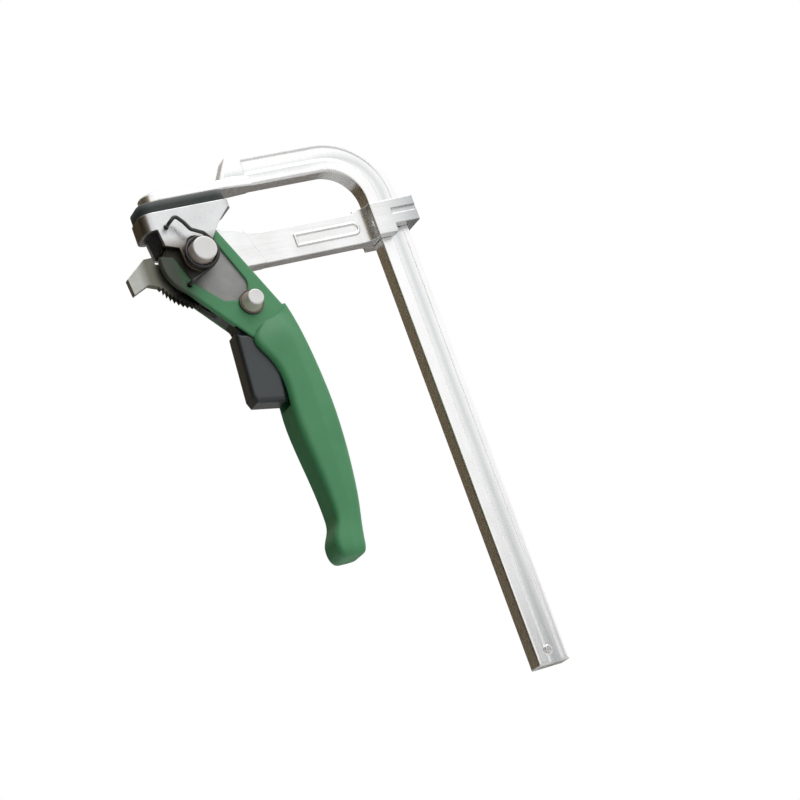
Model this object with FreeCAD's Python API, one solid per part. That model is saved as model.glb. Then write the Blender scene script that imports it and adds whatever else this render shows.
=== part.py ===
import FreeCAD, Part
import math
import os

# Quick release bar clamp, in millimetres. X runs from the clamp axis towards the rail, Y from the front
# to the back, and Z upwards. The origin lies on the clamp axis, in the fixed jaw's clamping face.
# The clamp is closed: the pad stands just under the jaw, and the lever is pulled in towards the rail.

# Parts of a turn, and the least length told apart
quarter_turn = 90
straight_angle = 180
full_turn = 360
diagonal_share = math.sqrt(1 / 2)
sliver = 0.001

# Shared clearances
running_gap = 0.3
shaft_clearance = 0.05
side_gap = 0.1
overrun = 4.0

# Rail: one bar, bent over at the top and forged into a flat tongue
throat_depth = 79.5
rail_width = 13.5
rail_thickness = 8.5
rail_drop = 216.6
rail_edge_radius = 0.8
bend_inner_radius = 15.0
channel_start_share = 0.38
channel_end_share = 0.80
channel_depth = 0.35
channel_jaw_margin = 6.0
jaw_end_reach = 25.9
jaw_end_lean = 7.9
tongue_reach = 13.4
tongue_thickness = 4.2
tongue_width = 12.0
tongue_corner_radius = 5.2
tongue_rim_radius = 1.1
tongue_root = 20.5
tongue_taper = 13.0
tongue_blend_radius = 2.2
stop_pin_inset = 5.8
stop_pin_height = 5.9
stop_pin_radius = 1.6
stop_pin_stand = 1.0
pin_chamfer = 0.4

# Pivots of the lever and of the trigger
pivot_drop = 26.2
pin_spacing = 27.0
lever_lean_angle = 33.4
lever_travel_angle = 45.0
pivot_radius = 4.0
trigger_pin_radius = 2.5

# Sliding arm
web_thickness = 6.0
web_top_rise = 6.5
web_bottom_drop = 6.8
head_thickness = 7.0
head_radius = 12.0
head_root = 30.0
head_shoulder = 16.0
head_shoulder_rise = 10.2
head_step_lean = 7.5
head_top_angle = 72.0
head_low_angle = 290.0
collar_depth = 18.5
collar_wall_inner = 2.4
collar_wall_outer = 3.6
collar_top_rise = 7.2
collar_outer_height = 10.5
collar_step = 6.0
collar_blend_radius = 5.2
collar_edge_radius = 0.9
collar_groove_drop = 3.9
collar_groove_height = 2.2
collar_groove_depth = 1.0
collar_groove_start = 6.0
panel_start = 13.5
panel_length = 29.0
panel_height = 5.6
panel_rim = 1.0
panel_rise = 0.45

# Ratchet sector in the arm's head
sector_thickness = 3.0
sector_radius = 18.8
sector_root = 8.0
tooth_depth = 1.3
tooth_count = 10
teeth_start_angle = 98.0
sector_end_angle = 172.0
hub_top_angle = 100.0
hub_low_angle = 300.0
sector_rivet_radius = 1.3
sector_rivet_share = 0.61
sector_rivet_angle = 55.0
stop_tab_reach = 28.8
stop_tab_height = 6.9
stop_tab_neck = 2.6
stop_tab_top = 1.4

# Lever: two steel cheeks in a green moulding
cheek_thickness = 1.5
skin_thickness = 0.9
cheek_margin = 2.8
lever_rear_inset = 1.6
lever_head_radius = 15.5
lever_root_right = 8.7
lever_root_left = 10.8
lever_root_along = 38.0
lever_tip_across = 15.2
lever_tip_along = 3.2
lever_tip_angle = 4.0
lever_side_left = 14.9
lever_side_along = 6.0
lever_edge_radius = 0.9
cam_base_radius = 5.5
cam_gap = 0.25
cam_lead_angle = 14.0
cam_tail_angle = 70.0
cam_steps = 14
cheek_tail_drop = 40.0
cheek_tail_outer = 27.2
window_top_right = 10.5
window_bottom_right = 6.7
window_top_left = 10.0
window_bottom_left = 6.9
window_bottom = 22.0
window_side_drop = 5.0
window_tip_rim = 1.0
window_floor_bow = 0.75
window_corner_radius = 3.0
rim_end_angle = 168.0
fork_floor_drop = 8.3

# Grip: for each section its place between the grip's top and its end, its left and right edge, the
# ridge's place between them, the right edge's depth beside the ridge's, and the ridge's own depth, as
# shares of the sizes below. The top keeps its gap below the trigger's pin.
grip_drop = 129.8
grip_top_gap = 3.03
grip_reach = 34.0
grip_half_depth = 8.75
grip_roundness_share = 0.42
grip_left_depth_share = 0.93
grip_section_shares = (
    (0.0, 0.665, 0.859, 0.5, 1.0, 0.7),
    (0.047, 0.509, 0.906, 0.45, 0.98, 0.73),
    (0.113, 0.318, 0.935, 0.66, 0.77, 0.93),
    (0.189, 0.413, 0.962, 0.62, 0.74, 0.99),
    (0.284, 0.496, 0.985, 0.55, 0.77, 1.0),
    (0.417, 0.481, 1.000, 0.56, 0.82, 0.99),
    (0.569, 0.498, 0.982, 0.53, 0.87, 0.955),
    (0.72, 0.535, 0.932, 0.5, 0.92, 0.9),
    (0.814, 0.544, 0.881, 0.5, 0.94, 0.86),
    (0.863, 0.524, 0.846, 0.5, 0.95, 0.85),
    (0.914, 0.441, 0.812, 0.5, 0.95, 0.88),
    (0.958, 0.429, 0.785, 0.5, 0.95, 0.9),
    (0.988, 0.460, 0.761, 0.5, 0.95, 0.84),
    (1.0, 0.528, 0.712, 0.5, 0.95, 0.62),
)

# Trigger slot, spacer and the pieces on the trigger's pin
slot_floor = 23.4
slot_top_drop = 30.0
slot_bottom_drop = 66.0
trigger_width = 10.4
trigger_arm_width = 7.0
trigger_boss_radius = 5.4
trigger_edge_radius = 2.0
trigger_block_shape = (
    (5.0, 32.8),
    (3.0, 59.0),
    (4.2, 62.0),
    (16.2, 64.0),
    (17.2, 61.5),
    (20.4, 36.0),
)
trigger_arm_shape = (
    (6.3, 30.6),
    (5.2, 27.8),
    (3.3, 25.0),
    (0.7, 22.4),
    (-1.4, 20.0),
    (-4.3, 16.8),
    (-6.0, 14.4),
    (-3.9, 13.9),
)
pawl_thickness = 3.0
pawl_gap = 0.3
pawl_nose_angle = 257.5
pawl_neck_angle = 264.0
pawl_neck_height = 0.9
pawl_tail = (-1.5, 20.8)
pawl_back = (3.0, 24.2)
pawl_hub_radius = 4.6
pawl_pin_radius = 1.1
pawl_pin_place = (5.4, 22.0)
spacer_height = 9.8
spacer_drop = 30.0
spacer_rivet_radius = 1.2
spacer_rivet_spacing = 5.6
return_spring_radius = 2.4
return_spring_wire = 0.6
return_spring_drop = 48.5
return_spring_pocket = 3.4
return_spring_seat = 5.0
pocket_clearance = 0.25

# Pins, washers and clips
pivot_head_radius = 4.9
pivot_head_root_radius = 5.4
pivot_head_length = 7.2
pivot_washer_radius = 5.9
washer_thickness = 0.5
pivot_end_stand = 1.4
pivot_clip_radius = 5.8
clip_thickness = 0.9
clip_opening_share = 0.8
trigger_head_radius = 3.2
trigger_head_root_radius = 4.3
trigger_head_length = 5.4
trigger_washer_radius = 5.0
trigger_washer_thickness = 1.2
trigger_clip_radius = 4.0
trigger_pin_stand = 1.2
head_dome = 0.6

# Pressure shoe: a deep cap over the lever's head
shoe_gap = 0.4
pad_thickness = 4.8
pad_left = 17.2
pad_right = 19.6
pad_width = 16.0
pad_corner_radius = 4.6
pad_edge_radius = 0.7
shoe_roof = 2.5
shoe_wall = 1.6
shoe_side_gap = 0.5
shoe_left = 17.9
shoe_right = 20.2
shoe_corner_radius = 5.0
shoe_inner_corner_radius = 3.7
shoe_left_wall_drop = 12.5
shoe_right_wall_drop = 8.3
shoe_cheek_left_top = 13.0
shoe_cheek_left_bottom = 12.2
shoe_cheek_left_drop = 19.6
shoe_cheek_right_bottom = 12.4
shoe_cheek_right_drop = 14.2
shoe_neck_half_width = 6.9
shoe_neck_drop = 21.6
shoe_tail_wall = 2.4
pad_stud_radius = 2.0
pad_stud_left = 11.0
pad_stud_right = 15.0

# Lever spring: a coil round the pivot's head, one leg in the shoe and one on the moulding's rim
spring_wire_radius = 0.75
spring_coil_radius = 6.3
spring_pitch = 2.05
spring_full_turns = 1
spring_stand = 0.45
spring_bend_radius = 1.5
gap_samples = 12
gap_skip_factor = 4
gap_digits = 3
spring_hole_clearance = 0.2
spring_leg_low = (-7.2, 10.4)
spring_leg_high = ((2.6, -7.2), (-2.0, -9.6), (-3.9, -13.0), (-6.5, -16.2), (-9.4, -13.9))


# Derived places
pivot = (0, -pivot_drop)
rail_outer = throat_depth + rail_width
rail_half = rail_thickness / 2
head_half = head_thickness / 2
cheek_inner = head_half + running_gap
cheek_outer = cheek_inner + cheek_thickness
lever_face = cheek_outer + skin_thickness
shoe_inner = lever_face + shoe_side_gap
shoe_face = shoe_inner + shoe_wall
shoe_top = shoe_gap + pad_thickness
shoe_ceiling = shoe_top + shoe_roof
cam_height = pivot_drop - shoe_ceiling - cam_gap
shoe_travel = cam_base_radius * math.radians(lever_travel_angle)
trigger_x = pin_spacing * math.sin(math.radians(lever_lean_angle))
trigger_z = -pivot_drop - pin_spacing * math.cos(math.radians(lever_lean_angle))
grip_top = trigger_z - grip_top_gap
arm_top = -pivot_drop + web_top_rise
arm_bottom = -pivot_drop - web_bottom_drop
collar_inner = throat_depth - running_gap - collar_wall_inner
collar_outer = rail_outer + running_gap + collar_wall_outer
collar_half = collar_depth / 2


def point(x, z, y=0):
    return FreeCAD.Vector(x, y, z)


def below_pivot(place):
    """A place in the lever's frame, given by its X and its drop below the pivot."""
    return place[0], -pivot_drop - place[1]


def on_lever(along, across):
    """A place measured from the pivot, along the line to the trigger's pin and across it."""
    lean = math.radians(lever_lean_angle)
    x = along * math.sin(lean) + across * math.cos(lean)
    z = -along * math.cos(lean) + across * math.sin(lean)
    return x, z - pivot_drop


def round_pivot(radius, degrees):
    """A place on a circle round the pivot, with the angle counted from +X towards +Z."""
    turn = math.radians(degrees)
    return radius * math.cos(turn), radius * math.sin(turn) - pivot_drop


def outline(*steps):
    """A closed wire in the plane y = 0: a place is reached by a line, and a pair of places by an arc."""
    edges = []
    here = steps[0]
    for step in steps[1:] + steps[:1]:
        if isinstance(step[0], tuple):
            via, end = step
            edges.append(Part.Arc(point(*here), point(*via), point(*end)).toShape())
        else:
            end = step
            if point(*here).distanceToPoint(point(*end)) > 0:
                edges.append(Part.makeLine(point(*here), point(*end)))
        here = end
    return Part.Wire(edges)


def prism(wire, y_from, y_to):
    """The solid between two depths whose front view is the wire."""
    face = Part.Face(wire)
    face.translate(FreeCAD.Vector(0, y_from, 0))
    return face.extrude(FreeCAD.Vector(0, y_to - y_from, 0))


def slab(wire, thickness):
    """The same, centred on the clamp's middle plane."""
    return prism(wire, -thickness / 2, thickness / 2)


def rod(place, radius, y_from, y_to):
    """A round bar parallel to Y."""
    x, z = place
    return Part.makeCylinder(radius, y_to - y_from, point(x, z, y_from), FreeCAD.Vector(0, 1, 0))


def block(x_from, x_to, y_from, y_to, z_from, z_to):
    return Part.makeBox(x_to - x_from, y_to - y_from, z_to - z_from, point(x_from, z_from, y_from))


def plan_prism(x_from, x_to, half_width, corner_radii, z_from, z_to):
    """An upright block with rounded corners: the first radius at its left end, the second at its right."""
    solid = block(x_from, x_to, -half_width, half_width, z_from, z_to)
    middle = (x_from + x_to) / 2
    for radius, left in ((corner_radii[0], True), (corner_radii[1], False)):
        edges = [e for e in solid.Edges if is_upright(e) and (e.CenterOfMass.x < middle) == left]
        solid = solid.makeFillet(radius, edges)
    return solid


def is_upright(edge):
    box = edge.BoundBox
    return box.XLength + box.YLength < sliver


def at_depth(edge, depth):
    """Whether an edge lies flat in one of the two planes at this distance from the middle plane."""
    box = edge.BoundBox
    return box.YLength < sliver and abs(abs(edge.CenterOfMass.y) - depth) < sliver


def fuse(*solids):
    joined = solids[0].fuse(list(solids[1:]))
    return joined.removeSplitter()


def pair(make):
    """Whatever make builds on the front side, and the same mirrored to the back."""
    front = make()
    return front, front.mirror(FreeCAD.Vector(0, 0, 0), FreeCAD.Vector(0, 1, 0))


# Rail

def rail_outline(inner_offset, outer_offset, lower_z, jaw_end):
    """The band between two offsets from the rail's inner edge, round the bend and along the jaw."""
    inner = throat_depth + inner_offset
    outer = throat_depth + outer_offset
    centre_x = bend_centre_x()
    centre_z = -bend_inner_radius
    inner_radius = bend_inner_radius + inner_offset
    outer_radius = bend_inner_radius + outer_offset
    inner_step = inner_radius * diagonal_share
    outer_step = outer_radius * diagonal_share
    inner_via = (centre_x + inner_step, centre_z + inner_step)
    outer_via = (centre_x + outer_step, centre_z + outer_step)
    return outline(
        (inner, lower_z),
        (inner, centre_z),
        (inner_via, (centre_x, centre_z + inner_radius)),
        *jaw_end,
        (centre_x, centre_z + outer_radius),
        (outer_via, (outer, centre_z)),
        (outer, lower_z),
    )


def jaw_tongue():
    half = tongue_width / 2
    plan = (
        point(-tongue_reach, 0, -half),
        point(tongue_root, 0, -half),
        point(tongue_root + tongue_taper, 0, -rail_half),
        point(tongue_root + tongue_taper, 0, rail_half),
        point(tongue_root, 0, half),
        point(-tongue_reach, 0, half),
    )
    face = Part.Face(Part.makePolygon(plan + plan[:1]))
    tongue = face.extrude(FreeCAD.Vector(0, 0, tongue_thickness))
    end = -tongue_reach
    corners = [e for e in tongue.Edges if is_upright(e) and abs(e.CenterOfMass.x - end) < sliver]
    tongue = tongue.makeFillet(tongue_corner_radius, corners)
    inside = tongue_root + tongue_taper - sliver
    top = [e for e in tongue.Edges if e.BoundBox.ZMin > tongue_thickness - sliver]
    return tongue.makeFillet(tongue_rim_radius, [e for e in top if e.BoundBox.XMin < inside])


def rounded_corner(before, corner, after, radius):
    """Where an arc starts, and its middle and end, when it rounds the corner between two lines."""
    back = point(*before).sub(point(*corner)).normalize()
    onward = point(*after).sub(point(*corner)).normalize()
    half_angle = back.getAngle(onward) / 2
    reach = radius / math.tan(half_angle)
    depth = radius / math.sin(half_angle) - radius
    start = point(*corner).add(FreeCAD.Vector(back).multiply(reach))
    end = point(*corner).add(FreeCAD.Vector(onward).multiply(reach))
    via = point(*corner).add(back.add(onward).normalize().multiply(depth))
    return (start.x, start.z), ((via.x, via.z), (end.x, end.z))


def rail_bar():
    jaw_low = (jaw_end_reach - jaw_end_lean, 0)
    jaw_high = (jaw_end_reach, rail_width)
    corner_share = tongue_thickness / rail_width
    corner = (jaw_low[0] + jaw_end_lean * corner_share, tongue_thickness)
    blend_start = (corner[0] - tongue_blend_radius, tongue_thickness)
    arc_start, arc = rounded_corner(blend_start, corner, jaw_high, tongue_blend_radius)
    jaw_end = ((arc_start[0], 0), arc_start, arc, jaw_high)
    bar = slab(rail_outline(0, rail_width, -rail_drop, jaw_end), rail_thickness)
    bar = bar.makeFillet(rail_edge_radius, [e for e in bar.Edges if is_long_edge(e)])
    near = channel_start_share * rail_width
    far = channel_end_share * rail_width
    channel_end = jaw_end_reach + channel_jaw_margin
    channel_wire = rail_outline(
        near,
        far,
        -rail_drop - overrun,
        ((channel_end, near), (channel_end, far)),
    )
    floor = rail_half - channel_depth
    for channel in pair(lambda: prism(channel_wire, -rail_half - overrun, -floor)):
        bar = bar.cut(channel)
    bar = fuse(bar, jaw_tongue())
    stop = stop_pin_place()
    return bar.cut(rod(stop, stop_pin_radius, -rail_half - overrun, rail_half + overrun))


def is_long_edge(edge):
    """The rail's long edges on both faces, apart from those inside the tongue."""
    box = edge.BoundBox
    low_in_tongue = box.ZMin > -sliver and box.ZMax < tongue_thickness + sliver
    return at_depth(edge, rail_half) and not (low_in_tongue and box.XMax < bend_centre_x() - sliver)


def bend_centre_x():
    return throat_depth - bend_inner_radius


def stop_pin_place():
    return throat_depth + stop_pin_inset, -rail_drop + stop_pin_height


def rail_stop_pin():
    end = rail_half + stop_pin_stand
    pin = rod(stop_pin_place(), stop_pin_radius, -end, end)
    return pin.makeChamfer(pin_chamfer, [e for e in pin.Edges if at_depth(e, end)])


# Sliding arm

def arm_side_view():
    """Web and head from the front, without the collar."""
    shoulder = (head_shoulder, -pivot_drop + head_shoulder_rise)
    return outline(
        (collar_inner + collar_wall_inner, arm_top),
        (head_root, arm_top),
        shoulder,
        round_pivot(head_radius, head_top_angle),
        (round_pivot(head_radius, straight_angle), round_pivot(head_radius, head_low_angle)),
        (head_shoulder, arm_bottom),
        (collar_inner + collar_wall_inner, arm_bottom),
    )


def arm_collar():
    """The sleeve round the rail, with hollow curves down to the web."""
    half_web = web_thickness / 2
    start = collar_inner - collar_blend_radius
    hollow = collar_blend_radius * (1 - diagonal_share)
    lip = half_web + collar_blend_radius
    plan = [
        Part.makeLine(point(start, 0, -half_web), point(start, 0, half_web)),
        Part.Arc(
            point(start, 0, half_web),
            point(collar_inner - hollow, 0, half_web + hollow),
            point(collar_inner, 0, lip),
        ).toShape(),
        Part.makeLine(point(collar_inner, 0, lip), point(collar_inner, 0, collar_half)),
        Part.makeLine(point(collar_inner, 0, collar_half), point(collar_outer, 0, collar_half)),
        Part.makeLine(point(collar_outer, 0, collar_half), point(collar_outer, 0, -collar_half)),
        Part.makeLine(point(collar_outer, 0, -collar_half), point(collar_inner, 0, -collar_half)),
        Part.makeLine(point(collar_inner, 0, -collar_half), point(collar_inner, 0, -lip)),
        Part.Arc(
            point(collar_inner, 0, -lip),
            point(collar_inner - hollow, 0, -half_web - hollow),
            point(start, 0, -half_web),
        ).toShape(),
    ]
    face = Part.Face(Part.Wire(plan))
    face.translate(FreeCAD.Vector(0, 0, arm_bottom))
    top = -pivot_drop + collar_top_rise
    column = face.extrude(FreeCAD.Vector(0, 0, top - arm_bottom))
    step_x = throat_depth + collar_step
    step_z = top - collar_outer_height
    foot = block(step_x, collar_outer + overrun, -collar_depth, collar_depth, arm_bottom - overrun, step_z)
    collar = column.cut(foot)
    groove_top = top - collar_groove_drop
    groove_start = throat_depth + collar_groove_start
    groove = block(
        groove_start,
        collar_outer + overrun,
        -collar_half - overrun,
        -collar_half + collar_groove_depth,
        groove_top - collar_groove_height,
        groove_top,
    )
    for cutter in (groove, groove.mirror(FreeCAD.Vector(0, 0, 0), FreeCAD.Vector(0, 1, 0))):
        collar = collar.cut(cutter)
    corners = [e for e in collar.Edges if is_upright(e) and is_collar_corner(e)]
    return collar.makeFillet(collar_edge_radius, corners)


def is_collar_corner(edge):
    centre = edge.CenterOfMass
    at_side = abs(abs(centre.y) - collar_half) < sliver
    at_end = min(abs(centre.x - collar_inner), abs(centre.x - collar_outer)) < sliver
    return at_side and at_end


def web_panel():
    """The raised frame on the web: a long field with one round end, left bare."""
    low = -pivot_drop - panel_height / 2
    high = low + panel_height
    left = head_root + panel_start
    right = left + panel_length

    def field(margin):
        reach = panel_height / 2 - margin
        middle = (low + high) / 2
        return outline(
            (left + margin, low + margin),
            (right - reach - margin, low + margin),
            ((right - margin, middle), (right - reach - margin, high - margin)),
            (left + margin, high - margin),
        )

    half_web = web_thickness / 2
    frame = prism(field(0), -half_web - panel_rise, -half_web + panel_rise)
    inside = prism(field(panel_rim), -half_web - panel_rise, -half_web)
    return frame.cut(inside)


def sliding_arm():
    side = arm_side_view()
    web = slab(side, web_thickness)
    head_end = outline(
        (head_root - head_step_lean, arm_top + overrun),
        (head_root, arm_bottom - overrun),
        (-head_radius - overrun, arm_bottom - overrun - head_radius),
        (-head_radius - overrun, arm_top + head_radius + overrun),
        (head_root - head_step_lean, arm_top + head_radius + overrun),
    )
    head = slab(side, head_thickness).common(slab(head_end, head_thickness))
    arm = fuse(web, head, arm_collar())
    for panel in pair(web_panel):
        arm = arm.fuse(panel)
    arm = arm.removeSplitter()
    rail_room = block(
        throat_depth - running_gap,
        rail_outer + running_gap,
        -rail_half - running_gap,
        rail_half + running_gap,
        arm_bottom - overrun,
        arm_top + overrun + collar_top_rise,
    )
    arm = arm.cut(rail_room)
    slot = block(
        -head_radius - overrun,
        sector_root,
        -sector_thickness / 2,
        sector_thickness / 2,
        -pivot_drop - head_radius - overrun,
        -pivot_drop + head_radius + overrun,
    )
    arm = arm.cut(slot)
    arm = arm.cut(rod((0, -pivot_drop), pivot_radius + shaft_clearance, -head_half, head_half))
    for place in sector_rivet_places():
        arm = arm.cut(rod(place, sector_rivet_radius, -head_half - overrun, head_half + overrun))
    return arm


# Ratchet sector

def sector_rivet_places():
    circle = pivot_radius + sector_rivet_share * (head_radius - pivot_radius)
    angles = (straight_angle - sector_rivet_angle, straight_angle + sector_rivet_angle)
    return [round_pivot(circle, degrees) for degrees in angles]


def ratchet_sector():
    """Hub, toothed edge and the tab that ends the lever's travel, in one plate."""
    pitch = lever_travel_angle / (tooth_count - 2)
    first = full_turn - teeth_start_angle
    root_radius = sector_radius - tooth_depth
    teeth_end = first - tooth_count * pitch
    hub_top = round_pivot(head_radius, hub_top_angle)
    hub_low = round_pivot(head_radius, hub_low_angle)
    hub_middle = (hub_top_angle + sector_end_angle) / 2
    edge_middle = (sector_end_angle + teeth_end) / 2
    body = outline(
        (sector_root, hub_top[1]),
        hub_top,
        (round_pivot(head_radius, hub_middle), round_pivot(head_radius, sector_end_angle)),
        round_pivot(sector_radius, sector_end_angle),
        (round_pivot(sector_radius, edge_middle), round_pivot(sector_radius, teeth_end)),
        round_pivot(root_radius, teeth_end),
        (round_pivot(root_radius, (teeth_end + first) / 2), round_pivot(root_radius, first)),
        hub_low,
        (sector_root, hub_low[1]),
    )
    plate = slab(body, sector_thickness)
    for index in range(tooth_count):
        low = first - index * pitch
        tooth = outline(
            round_pivot(root_radius - tooth_depth, low),
            round_pivot(sector_radius, low),
            round_pivot(root_radius, low - pitch),
            round_pivot(root_radius - tooth_depth, low - pitch),
        )
        plate = plate.fuse(slab(tooth, sector_thickness))
    tab_end = -stop_tab_reach
    tab_top = -pivot_drop - stop_tab_top
    neck_x, neck_z = round_pivot(sector_radius, sector_end_angle)
    tab = outline(
        (neck_x + stop_tab_neck, neck_z + stop_tab_neck),
        (neck_x - stop_tab_neck / 2, neck_z + stop_tab_neck),
        (tab_end, tab_top),
        (tab_end + stop_tab_top / 2, tab_top - stop_tab_height),
        (-sector_radius - stop_tab_neck, tab_top - stop_tab_neck - stop_tab_top),
        round_pivot(root_radius, teeth_end),
    )
    plate = plate.fuse(slab(tab, sector_thickness))
    plate = plate.removeSplitter()
    plate = plate.cut(rod((0, -pivot_drop), pivot_radius + shaft_clearance, -head_half, head_half))
    for place in sector_rivet_places():
        plate = plate.cut(rod(place, sector_rivet_radius, -head_half, head_half))
    return plate


def sector_rivets():
    rivets = [rod(place, sector_rivet_radius, -head_half, head_half) for place in sector_rivet_places()]
    return Part.makeCompound(rivets)


# Lever

def lever_head_view(inset=0):
    """The moulding's head from the front. The inset shrinks it evenly."""
    radius = lever_head_radius - inset
    tip = on_lever(-lever_tip_along, lever_tip_across - inset)
    root_right = on_lever(lever_root_along, lever_root_right - inset)
    root_left = on_lever(lever_root_along, inset - lever_root_left)
    side_left = on_lever(lever_side_along, inset - lever_side_left)
    tip_angle = math.degrees(math.atan2(tip[1] + pivot_drop, tip[0]))
    side_angle = math.degrees(math.atan2(side_left[1] + pivot_drop, side_left[0])) % full_turn
    arc_end = round_pivot(radius, side_angle)
    arc_start = round_pivot(radius, tip_angle + lever_tip_angle)
    return outline(
        tip,
        arc_start,
        (round_pivot(radius, (tip_angle + side_angle) / 2), arc_end),
        root_left,
        root_right,
    )


def grip_section(shares):
    """One level section of the grip: a blunt ridge in front and behind, between rounded edges."""
    place_share, left_share, right_share, ridge_share, edge_share, depth_share = shares
    left = left_share * grip_reach
    right = right_share * grip_reach
    ridge = left + ridge_share * (right - left)
    half = depth_share * grip_half_depth
    left_half = grip_left_depth_share * half
    right_half = edge_share * half
    radius = grip_roundness_share * min(right_half, (right - left) / 2)
    corners = (
        (left, left_half),
        (ridge, half),
        (right, right_half),
        (right, -right_half),
        (ridge, -half),
        (left, -left_half),
    )
    steps = []
    for index, corner in enumerate(corners):
        if corner[0] == ridge:
            steps.append(corner)
        else:
            after = corners[(index + 1) % len(corners)]
            steps.extend(rounded_corner(corners[index - 1], corner, after, radius))
    wire = outline(*steps)
    wire.rotate(point(0, 0), FreeCAD.Vector(1, 0, 0), quarter_turn)
    wire.translate(point(0, grip_top - place_share * (grip_top + pivot_drop + grip_drop)))
    return wire


def lever_grip():
    return Part.makeLoft([grip_section(shares) for shares in grip_section_shares], True, False)


def cam_point(degrees):
    """The cheek's lifting edge is the involute of a circle, so the shoe rises evenly with the turn."""
    turn = math.radians(degrees)
    string = cam_height - cam_base_radius * turn
    x = cam_base_radius * math.cos(turn) - string * math.sin(turn)
    z = cam_base_radius * math.sin(turn) + string * math.cos(turn)
    return x, z - pivot_drop


def cam_view():
    """The cheek's lobe under the shoe, from its lifting edge down to the pivot."""
    sweep = cam_lead_angle + cam_tail_angle
    shares = [index / cam_steps for index in range(cam_steps + 1)]
    places = [cam_point(-cam_lead_angle + sweep * share) for share in shares]
    lift = Part.BSplineCurve()
    lift.interpolate([point(*place) for place in places])
    start, end = places[0], places[-1]
    side = (start[0], -pivot_drop)
    edges = [
        lift.toShape(),
        Part.makeLine(point(*end), point(*pivot)),
        Part.makeLine(point(*pivot), point(*side)),
        Part.makeLine(point(*side), point(*start)),
    ]
    return Part.Wire(edges)


def cam_cover():
    """Everything below the cam's ends, so that the round head never stands above the lifting edge."""
    start, end = cam_point(-cam_lead_angle), cam_point(cam_tail_angle)
    wide = lever_head_radius + overrun
    low = -pivot_drop - cheek_tail_drop - overrun
    shoulder = -pivot_drop + lever_head_radius / 2
    return outline(
        (-wide, end[1]),
        end,
        pivot,
        (start[0], shoulder),
        (wide, shoulder),
        (wide + slot_floor, low),
        (-wide, low),
    )


def cheek_corner():
    """The cheek's lower right corner, where its tail begins."""
    return on_lever(lever_root_along, lever_root_right - cheek_margin)


def cheek_tail_view():
    """The cheek's tail, which reaches down inside the grip behind the trigger's slot."""
    x, z = cheek_corner()
    low = -pivot_drop - cheek_tail_drop
    return outline(
        (slot_floor, z + overrun),
        (x, z),
        (cheek_tail_outer, x - cheek_tail_outer + z),
        (cheek_tail_outer, low),
        (slot_floor, low),
    )


def cheek_solid(y_from, y_to):
    """A steel cheek: the moulding's head, drawn in, with the cam on top and a tail behind the slot."""
    head = prism(lever_head_view(cheek_margin), y_from, y_to)
    head = head.common(prism(cam_cover(), y_from, y_to))
    cheek = fuse(head, prism(cam_view(), y_from, y_to), prism(cheek_tail_view(), y_from, y_to))
    return cheek.cut(slab(trigger_slot(), 2 * cheek_outer + overrun))


def lever_plate(front):
    inner, outer = (-cheek_outer, -cheek_inner) if front else (cheek_inner, cheek_outer)
    plate = cheek_solid(inner, outer)
    plate = plate.cut(rod((0, -pivot_drop), pivot_radius, -lever_face, lever_face))
    plate = plate.cut(rod((trigger_x, trigger_z), trigger_pin_radius, -lever_face, lever_face))
    for place in spacer_rivet_places():
        plate = plate.cut(rod(place, spacer_rivet_radius, -lever_face, lever_face))
    return plate


def window_view():
    """The opening in the moulding's skin, through which the steel cheek shows. Its top is open."""
    high = lever_head_radius + overrun
    left_top = round_pivot(window_top_left, rim_end_angle)
    left_out = round_pivot(high, rim_end_angle)
    return outline(
        on_lever(-high, window_top_right + overrun),
        on_lever(-lever_tip_along, lever_tip_across - window_tip_rim),
        on_lever(0, window_top_right),
        on_lever(window_bottom - window_corner_radius, window_bottom_right),
        (
            on_lever(window_bottom + window_floor_bow, window_bottom_right / 2),
            on_lever(window_bottom, -window_bottom_left / 2),
        ),
        on_lever(window_bottom - window_corner_radius, -window_bottom_left),
        on_lever(window_side_drop, -window_top_left),
        left_top,
        left_out,
        (-high, 0),
    )


def head_top_view():
    """The moulding's open top, above the ends of its two rims."""
    high = lever_head_radius + overrun
    return outline(
        on_lever(-high, window_top_right + overrun),
        on_lever(-lever_tip_along, lever_tip_across - window_tip_rim),
        on_lever(0, window_top_right),
        pivot,
        round_pivot(high, rim_end_angle),
        (-high, 0),
    )


def fork_gap():
    """The room between the cheeks, open at the top, to the left, and to the right above the web."""
    wide = 2 * lever_head_radius + slot_floor
    floor = -pivot_drop - fork_floor_drop
    slot_top = -pivot_drop - slot_top_drop
    return outline(
        (-wide, overrun),
        (wide, overrun),
        (wide, floor),
        (trigger_x, floor),
        (trigger_x, slot_top - overrun),
        (-wide, slot_top - overrun),
    )


def trigger_slot():
    top = -pivot_drop - slot_top_drop
    bottom = -pivot_drop - slot_bottom_drop
    return outline(
        (-overrun, top),
        (slot_floor, top),
        (slot_floor, bottom),
        (-overrun, bottom),
    )


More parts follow.
